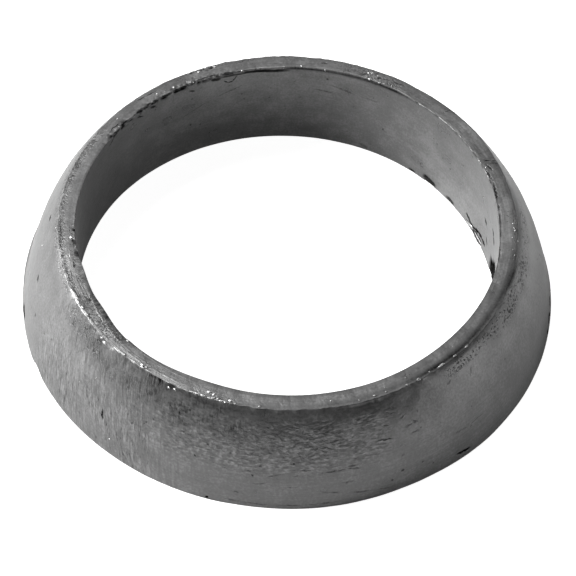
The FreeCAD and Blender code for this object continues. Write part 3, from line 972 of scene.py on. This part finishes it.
def lifted_flake(section, material):
    """A thin lozenge of graphite that stands off the wall and leans inwards."""
    rng = np.random.default_rng(42)
    point, around, along, outward = section.place("bore", FLAKE_ANGLE, FLAKE_HEIGHT)
    lean = Matrix.Rotation(math.radians(FLAKE_LEAN), 3, outward)
    around, along = lean @ around, lean @ along
    count = FLAKE_CORNERS
    rim = []
    for corner in range(count):
        turn = 2 * math.pi * corner / count
        ragged = rng.uniform(0.85, 1.1)
        rim.append((
            FLAKE_HALF_LENGTH * math.cos(turn) * ragged,
            FLAKE_HALF_WIDTH * math.sin(turn) * abs(math.sin(turn)) ** 0.3 * ragged,
        ))
    points, faces = [], []
    for lift in (FLAKE_LIFT, FLAKE_LIFT - FLAKE_THICKNESS):
        for length, width in [(0, 0)] + rim:
            curl = FLAKE_CURL * (length / FLAKE_HALF_LENGTH) ** 2
            points.append(point + around * length + along * width + outward * (lift - curl))
    for corner in range(count):
        after = corner % count + 1
        nxt = (corner + 1) % count + 1
        faces.append((0, after, nxt))
        faces.append((count + 1, count + 1 + nxt, count + 1 + after))
        faces.append((after, count + 1 + after, count + 1 + nxt, nxt))
    piece = make_mesh("lifted_flake", keep_in_box(np.array(points)), faces, material)
    blank = np.zeros(len(points))
    # The flake's face is painted bright, a painted highlight
    store(piece.data, blank + FLAKE_ANGLE, blank + FLAKE_ALONG, {"bright": blank + 0.8})
    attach(piece, "root")


# Materials


# Patterns of the skin: size round the ring, size along the section, detail, distortion
PATTERNS = {
    "mottle": (2.6, 2.6, 2.0, 0.0),
    "grit": (0.3, 0.3, 2.0, 0.0),
    "wipes": (0.7, 3.6, 4.0, 0.6),
    "dabs": (0.34, 1.0, 3.0, 0.8),
    "wrinkles": (0.6, 0.36, 1.5, 0.2),
    "scores": (4.5, 0.2, 2.0, 0.3),
    "crumbs": (0.4, 0.4, 3.0, 0.6),
    "haze": (7.0, 3.0, 2.0, 0.5),
}
# The patterns that lie along the die's wipe marks
WIPED_PATTERNS = ("wipes", "dabs")
# What each pattern does, where a mask lets it: tone, roughness, height in millimetres
LAYERS = (
    ("mottle", None, 0.035, 0.04, 0.015),
    ("grit", None, 0.045, 0.0, 0.003),
    ("wipes", "wiped", 0.065, 0.0, 0.006),
    ("dabs", "dabbed", 0.13, 0.0, 0.024),
    ("wrinkles", "wrinkled", 0.15, 0.0, 0.014),
    ("scores", "creased", 0.03, 0.0, 0.005),
    ("crumbs", "worn", 0.12, 0.06, 0.025),
    ("crumbs", "land_skin", 0.025, 0.03, 0.001),
    ("scores", "land_skin", 0.03, 0.0, 0.003),
    ("haze", "bore_wall", 0.05, 0.04, 0.0),
    ("scores", "bore_wall", 0.015, 0.0, 0.002),
)
MARK_REACH = 3.0
# How far, and over what size, the edges of marks are ragged
RAGGED_REACH = 0.22
RAGGED_SIZE = 0.45
# Size of the cells of which some hold a small pit
PIT_CELL = 1.3
CRACK_STRENGTH = 0.85
PIT_STRENGTH = 0.62


def strokes(marks):
    """Side, half width and both ends of each stroke of the marks. A pit is a stroke with no length."""
    for side, there in marks.items():
        for half_width, *places in there:
            for ends in list(zip(places, places[1:])) or [places * 2]:
                yield side, half_width, *ends


def sunk_marks(tree, skin, section, marks):
    """Field that is 1 in the middle of each mark and 0 at its edge."""
    field = None
    for side, half_width, (first_angle, first_where), (last_angle, last_where) in strokes(marks):
        first = section.along_at(side, first_where)
        last = section.along_at(side, last_where)
        sweep = turned(last_angle, first_angle)
        length = math.radians(sweep) * SKIN_RADIUS
        middle = on_skin(first_angle + sweep / 2, (first + last) / 2)
        turn = math.radians(first_angle + sweep / 2)
        tilt = math.atan2(last - first, length)
        half_length = math.hypot(length, last - first) / 2 + half_width
        local = add_node(tree, "Mapping", {"vector_type": "TEXTURE"}, {
            "Vector": skin, "Location": middle, "Rotation": (tilt, 0, turn),
            "Scale": (MARK_REACH, half_length, half_width),
        })
        spot = add_node(tree, "TexGradient", {"gradient_type": "SPHERICAL"}, {"Vector": local})
        spot = spot.outputs["Fac"]
        if field is None:
            field = spot
        else:
            field = add_node(tree, "Math", MAXIMUM, {0: field, 1: spot})
    return field


def skin_patterns(tree, skin, wipe_skin):
    """The skin's noise patterns, each from about -1 to 1."""
    patterns = {}
    for name, (size_round, size_along, detail, distortion) in PATTERNS.items():
        scale = (1 / size_round, 1 / size_round, 1 / size_along)
        place = wipe_skin if name in WIPED_PATTERNS else skin
        stretched = add_node(tree, "Mapping", {}, {"Vector": place, "Scale": scale})
        noise = add_node(tree, "TexNoise", {"normalize": True}, {
            "Vector": stretched, "Scale": 1.0, "Detail": detail, "Distortion": distortion,
        })
        # Noise keeps to the middle of its range, so that part is spread to -1 and 1
        patterns[name] = add_node(tree, "MapRange", {"clamp": False}, {
            "Value": noise, "From Min": 0.3, "From Max": 0.7, "To Min": -1.0, "To Max": 1.0,
        })
    return patterns


def sunk_skin(tree, skin, section, masks, patterns):
    """Field that is 1 where the skin is broken, black with soot or painted with shade: marks, pits,
    specks, nicks and the painted shade.
    """
    # Pits and cracks with ragged edges
    jitter = add_node(tree, "TexNoise", {"normalize": True}, {"Vector": skin, "Scale": 1 / RAGGED_SIZE})
    jitter = add_node(tree, "VectorMath", {"operation": "SUBTRACT"}, {
        0: jitter.outputs["Color"], 1: (0.5, 0.5, 0.5),
    })
    ragged = add_node(tree, "VectorMath", MULTIPLY_ADD, {0: jitter, 1: (2 * RAGGED_REACH,) * 3, 2: skin})
    broken = add_node(tree, "MapRange", {}, {
        "Value": patterns["crumbs"], "From Min": -0.7, "From Max": 0.5, "To Min": 0.1, "To Max": 0.45,
    })
    dark = [
        add_node(tree, "MapRange", SMOOTH, {
            "Value": sunk_marks(tree, ragged, section, marks), "From Max": 0.55, "To Max": strength,
        })
        for marks, strength in (
            (NOTCHES_AND_SHADE, 1.0), (CRACKS, CRACK_STRENGTH), (PITS, PIT_STRENGTH), (SLITS, broken),
        )
    ]
    # Small pits of their own depth
    cells = add_node(tree, "TexVoronoi", {}, {"Vector": ragged, "Scale": 1 / PIT_CELL})
    chance = add_node(tree, "MapRange", {}, {
        "Value": cells.outputs["Color"], "From Min": 0.52, "From Max": 0.85, "To Max": 0.45,
    })
    pit = add_node(tree, "MapRange", SMOOTH, {"Value": cells, "From Min": 0.16, "From Max": 0.04})
    pit = add_node(tree, "Math", MULTIPLY, {0: pit, 1: chance})
    # Specks of soot gather in the darker spots of the mottle, and short nicks lie along the wipes
    gathered = add_node(tree, "Math", MULTIPLY_ADD, {0: patterns["mottle"], 1: -0.3, 2: patterns["grit"]})
    specks = add_node(tree, "MapRange", SMOOTH, {
        "Value": gathered, "From Min": -0.2, "From Max": 1.0, "To Max": 0.8,
    })
    specks = add_node(tree, "Math", MULTIPLY, {0: specks, 1: masks["speckled"]})
    nicks = add_node(tree, "MapRange", SMOOTH, {
        "Value": patterns["dabs"], "From Min": -0.6, "From Max": -1.1, "To Max": 0.5,
    })
    nicks = add_node(tree, "Math", MULTIPLY, {0: nicks, 1: masks["dabbed"]})
    sunk = dark[0]
    for other in (*dark[1:], pit, specks, nicks, masks["soot"]):
        sunk = add_node(tree, "Math", MAXIMUM, {0: sunk, 1: other})
    return sunk


def pressed_graphite(section):
    """Expanded graphite pressed into knitted steel wire in a polished die, then used.

    To the eye: a satin dark grey with a slight metal sheen, finely mottled, streaked where the
    die wiped it, wrinkled where it flowed, and matt and grainy on the narrow land.
    """
    material, tree, shader = new_material("pressed_graphite")
    skin = add_node(tree, "Attribute", {"attribute_name": "skin"}).outputs["Vector"]
    wipe_skin = add_node(tree, "Attribute", {"attribute_name": "wipe_skin"}).outputs["Vector"]

    masks = {}
    for name in sorted({mask for _, mask, *_ in LAYERS if mask} | {"speckled", "soot", "bright"}):
        masks[name] = add_node(tree, "Attribute", {"attribute_name": name}).outputs["Fac"]
    patterns = skin_patterns(tree, skin, wipe_skin)

    # Totals of tone, roughness in view and height, layer on layer
    totals = [0.5, 0.32, 0.0]

    def lay_on(source, shares):
        for index, share in enumerate(shares):
            if share:
                inputs = {0: source, 1: share, 2: totals[index]}
                totals[index] = add_node(tree, "Math", MULTIPLY_ADD, inputs)

    for pattern, mask, *shares in LAYERS:
        layer = patterns[pattern]
        if mask:
            layer = add_node(tree, "Math", MULTIPLY, {0: layer, 1: masks[mask]})
        lay_on(layer, shares)

    sunk = sunk_skin(tree, skin, section, masks, patterns)
    # Sunk skin darkens the tone, the painted shade among it
    lay_on(sunk, (-0.5, 0.2, -0.06))
    # The bright mask is painted highlight and painted light
    lay_on(masks["bright"], (0.5, 0.0, 0.02))
    # Soot and the painted shade have no sheen of their own
    for name, level in (("Metallic", 0.6), ("Specular IOR Level", 0.5)):
        sheen = add_node(tree, "MapRange", {}, {"Value": sunk, "To Min": level, "To Max": 0.0})
        tree.links.new(sheen.outputs[0], shader.inputs[name])
    tone, rough, height = totals
    ramp = add_node(tree, "ValToRGB", {}, {"Fac": tone})
    ramp.color_ramp.elements[0].color = linear("#080808")
    ramp.color_ramp.elements[1].color = linear("#c4c4c4")
    ramp.color_ramp.elements.new(0.5).color = linear("#737373")
    tree.links.new(ramp.outputs["Color"], shader.inputs["Base Color"])
    tree.links.new(rough.outputs[0], shader.inputs["Roughness"])
    bump = add_node(tree, "Bump", {}, {"Height": height, "Distance": MM})
    tree.links.new(bump.outputs["Normal"], shader.inputs["Normal"])
    return material


def wire_material(name, metallic, roughness, grain_size, stops):
    """Wire whose grey goes from stop to stop over a grain of this many millimetres."""
    material, tree, shader = new_material(name)
    shader.inputs["Metallic"].default_value = metallic
    shader.inputs["Roughness"].default_value = roughness
    place = add_node(tree, "TexCoord").outputs["Object"]
    noise = add_node(tree, "TexNoise", {}, {"Vector": place, "Scale": 1 / (grain_size * MM)})
    ramp = add_node(tree, "ValToRGB", {}, {"Fac": noise})
    for element, (position, colour) in zip(ramp.color_ramp.elements, stops):
        element.position = position
        element.color = linear(colour)
    tree.links.new(ramp.outputs["Color"], shader.inputs["Base Color"])
    return material


def bare_steel():
    """Stainless knitting wire that the press has rolled bare: bright, with a fine rolled face."""
    return wire_material("bare_steel", 0.8, 0.45, 0.12, ((0.35, "#828282"), (0.6, "#d2d2d2")))


def sooty_wire():
    """Knitting wire darkened by heat and soot, dull all over, with the soot in small patches."""
    return wire_material("sooty_wire", 0.5, 0.6, 0.3, ((0.0, "#1e1e1e"), (1.0, "#4a4a4a")))


# Stage, lamps and camera

# Lamp name, direction round the ring, elevation, power in watts
LAMPS = (
    ("soft_key", 178, 29, 13.1),
    ("left", 165, 20, 3.7),
    ("top", 128, 62, 4),
    ("back_right", 25, 12, 2.2),
    ("low_right", 345, 8, 1),
)
LAMP_REACH = 900.0
LAMP_SIDE = 300.0
FLOOR_SIDE = 6000.0
FLOOR_PALE = "#c8c8c8"
FLOOR_WHITE_IN_VIEW = 0.97
FLOOR_WHITE_IN_GLOSS = 0.19

CAMERA_ELEVATION = 51.32
CAMERA_REACH = 482.7
CAMERA_ROLL = 1.61
PHOTO_WIDTH = 576
FOCAL_PIXELS = 3657.0
BASE_CENTRE_PIXEL = (286.4, 292.9)
SENSOR = 36.0


def direction(angle, elevation):
    a, e = math.radians(angle), math.radians(elevation)
    return Vector((math.cos(a) * math.cos(e), math.sin(a) * math.cos(e), math.sin(e)))


def facing_base(place):
    """A matrix at a place that looks at the centre of the base."""
    return Matrix.Translation(place) @ (-place).to_track_quat("-Z", "Y").to_matrix().to_4x4()


def lamps():
    for name, angle, elevation, power in LAMPS:
        data = bpy.data.lights.new(name, "AREA")
        data.shape = "SQUARE"
        data.size = LAMP_SIDE * MM
        data.energy = power
        lamp = add_object(name, data)
        lamp.matrix_world = facing_base(direction(angle, elevation) * LAMP_REACH * MM)


def pale_floor():
    """A pale sweep that a view shows as white, and that still takes the ring's shadow."""
    material, tree, _ = new_material("pale_floor")
    tree.nodes.clear()
    paint = add_node(tree, "BsdfDiffuse", {}, {"Color": linear(FLOOR_PALE)})
    ray = add_node(tree, "LightPath")
    seen = add_node(tree, "Math", MULTIPLY, {0: ray.outputs["Is Camera Ray"], 1: FLOOR_WHITE_IN_VIEW})
    mirrored = add_node(tree, "Math", MAXIMUM, {
        0: ray.outputs["Is Glossy Ray"], 1: ray.outputs["Is Transmission Ray"],
    })
    glow = add_node(tree, "Math", MULTIPLY_ADD, {0: mirrored, 1: FLOOR_WHITE_IN_GLOSS, 2: seen})
    white = add_node(tree, "Emission", {}, {"Strength": glow})
    both = add_node(tree, "AddShader", {}, {0: paint, 1: white})
    add_node(tree, "OutputMaterial", {}, {"Surface": both})
    half = FLOOR_SIDE / 2
    corners = [(-half, -half, 0), (half, -half, 0), (half, half, 0), (-half, half, 0)]
    floor = make_mesh("floor", corners, [(0, 1, 2, 3)], material)


def world():
    scene_world = bpy.data.worlds.new("studio")
    scene_world.use_nodes = True
    background = scene_world.node_tree.nodes["Background"]
    background.inputs["Color"].default_value = linear("#ffffff")
    background.inputs["Strength"].default_value = 0.0
    bpy.context.scene.world = scene_world


def camera():
    data = bpy.data.cameras.new("camera")
    data.sensor_width = SENSOR
    data.lens = FOCAL_PIXELS / PHOTO_WIDTH * SENSOR
    data.shift_x = (PHOTO_WIDTH / 2 - BASE_CENTRE_PIXEL[0]) / PHOTO_WIDTH
    data.shift_y = (BASE_CENTRE_PIXEL[1] - PHOTO_WIDTH / 2) / PHOTO_WIDTH
    view = add_object("camera", data)
    place = direction(-90, CAMERA_ELEVATION) * CAMERA_REACH * MM
    view.matrix_world = facing_base(place) @ Matrix.Rotation(math.radians(CAMERA_ROLL), 4, "Z")
    bpy.context.scene.camera = view


def build():
    section = Section()
    graphite = pressed_graphite(section)
    pressed_ring(section, graphite)
    steel_flecks(section, bare_steel())
    bared_strand(sooty_wire())
    lifted_flake(section, graphite)
    pale_floor()
    lamps()
    world()
    camera()
    bpy.context.scene.view_settings.view_transform = "Standard"


build()
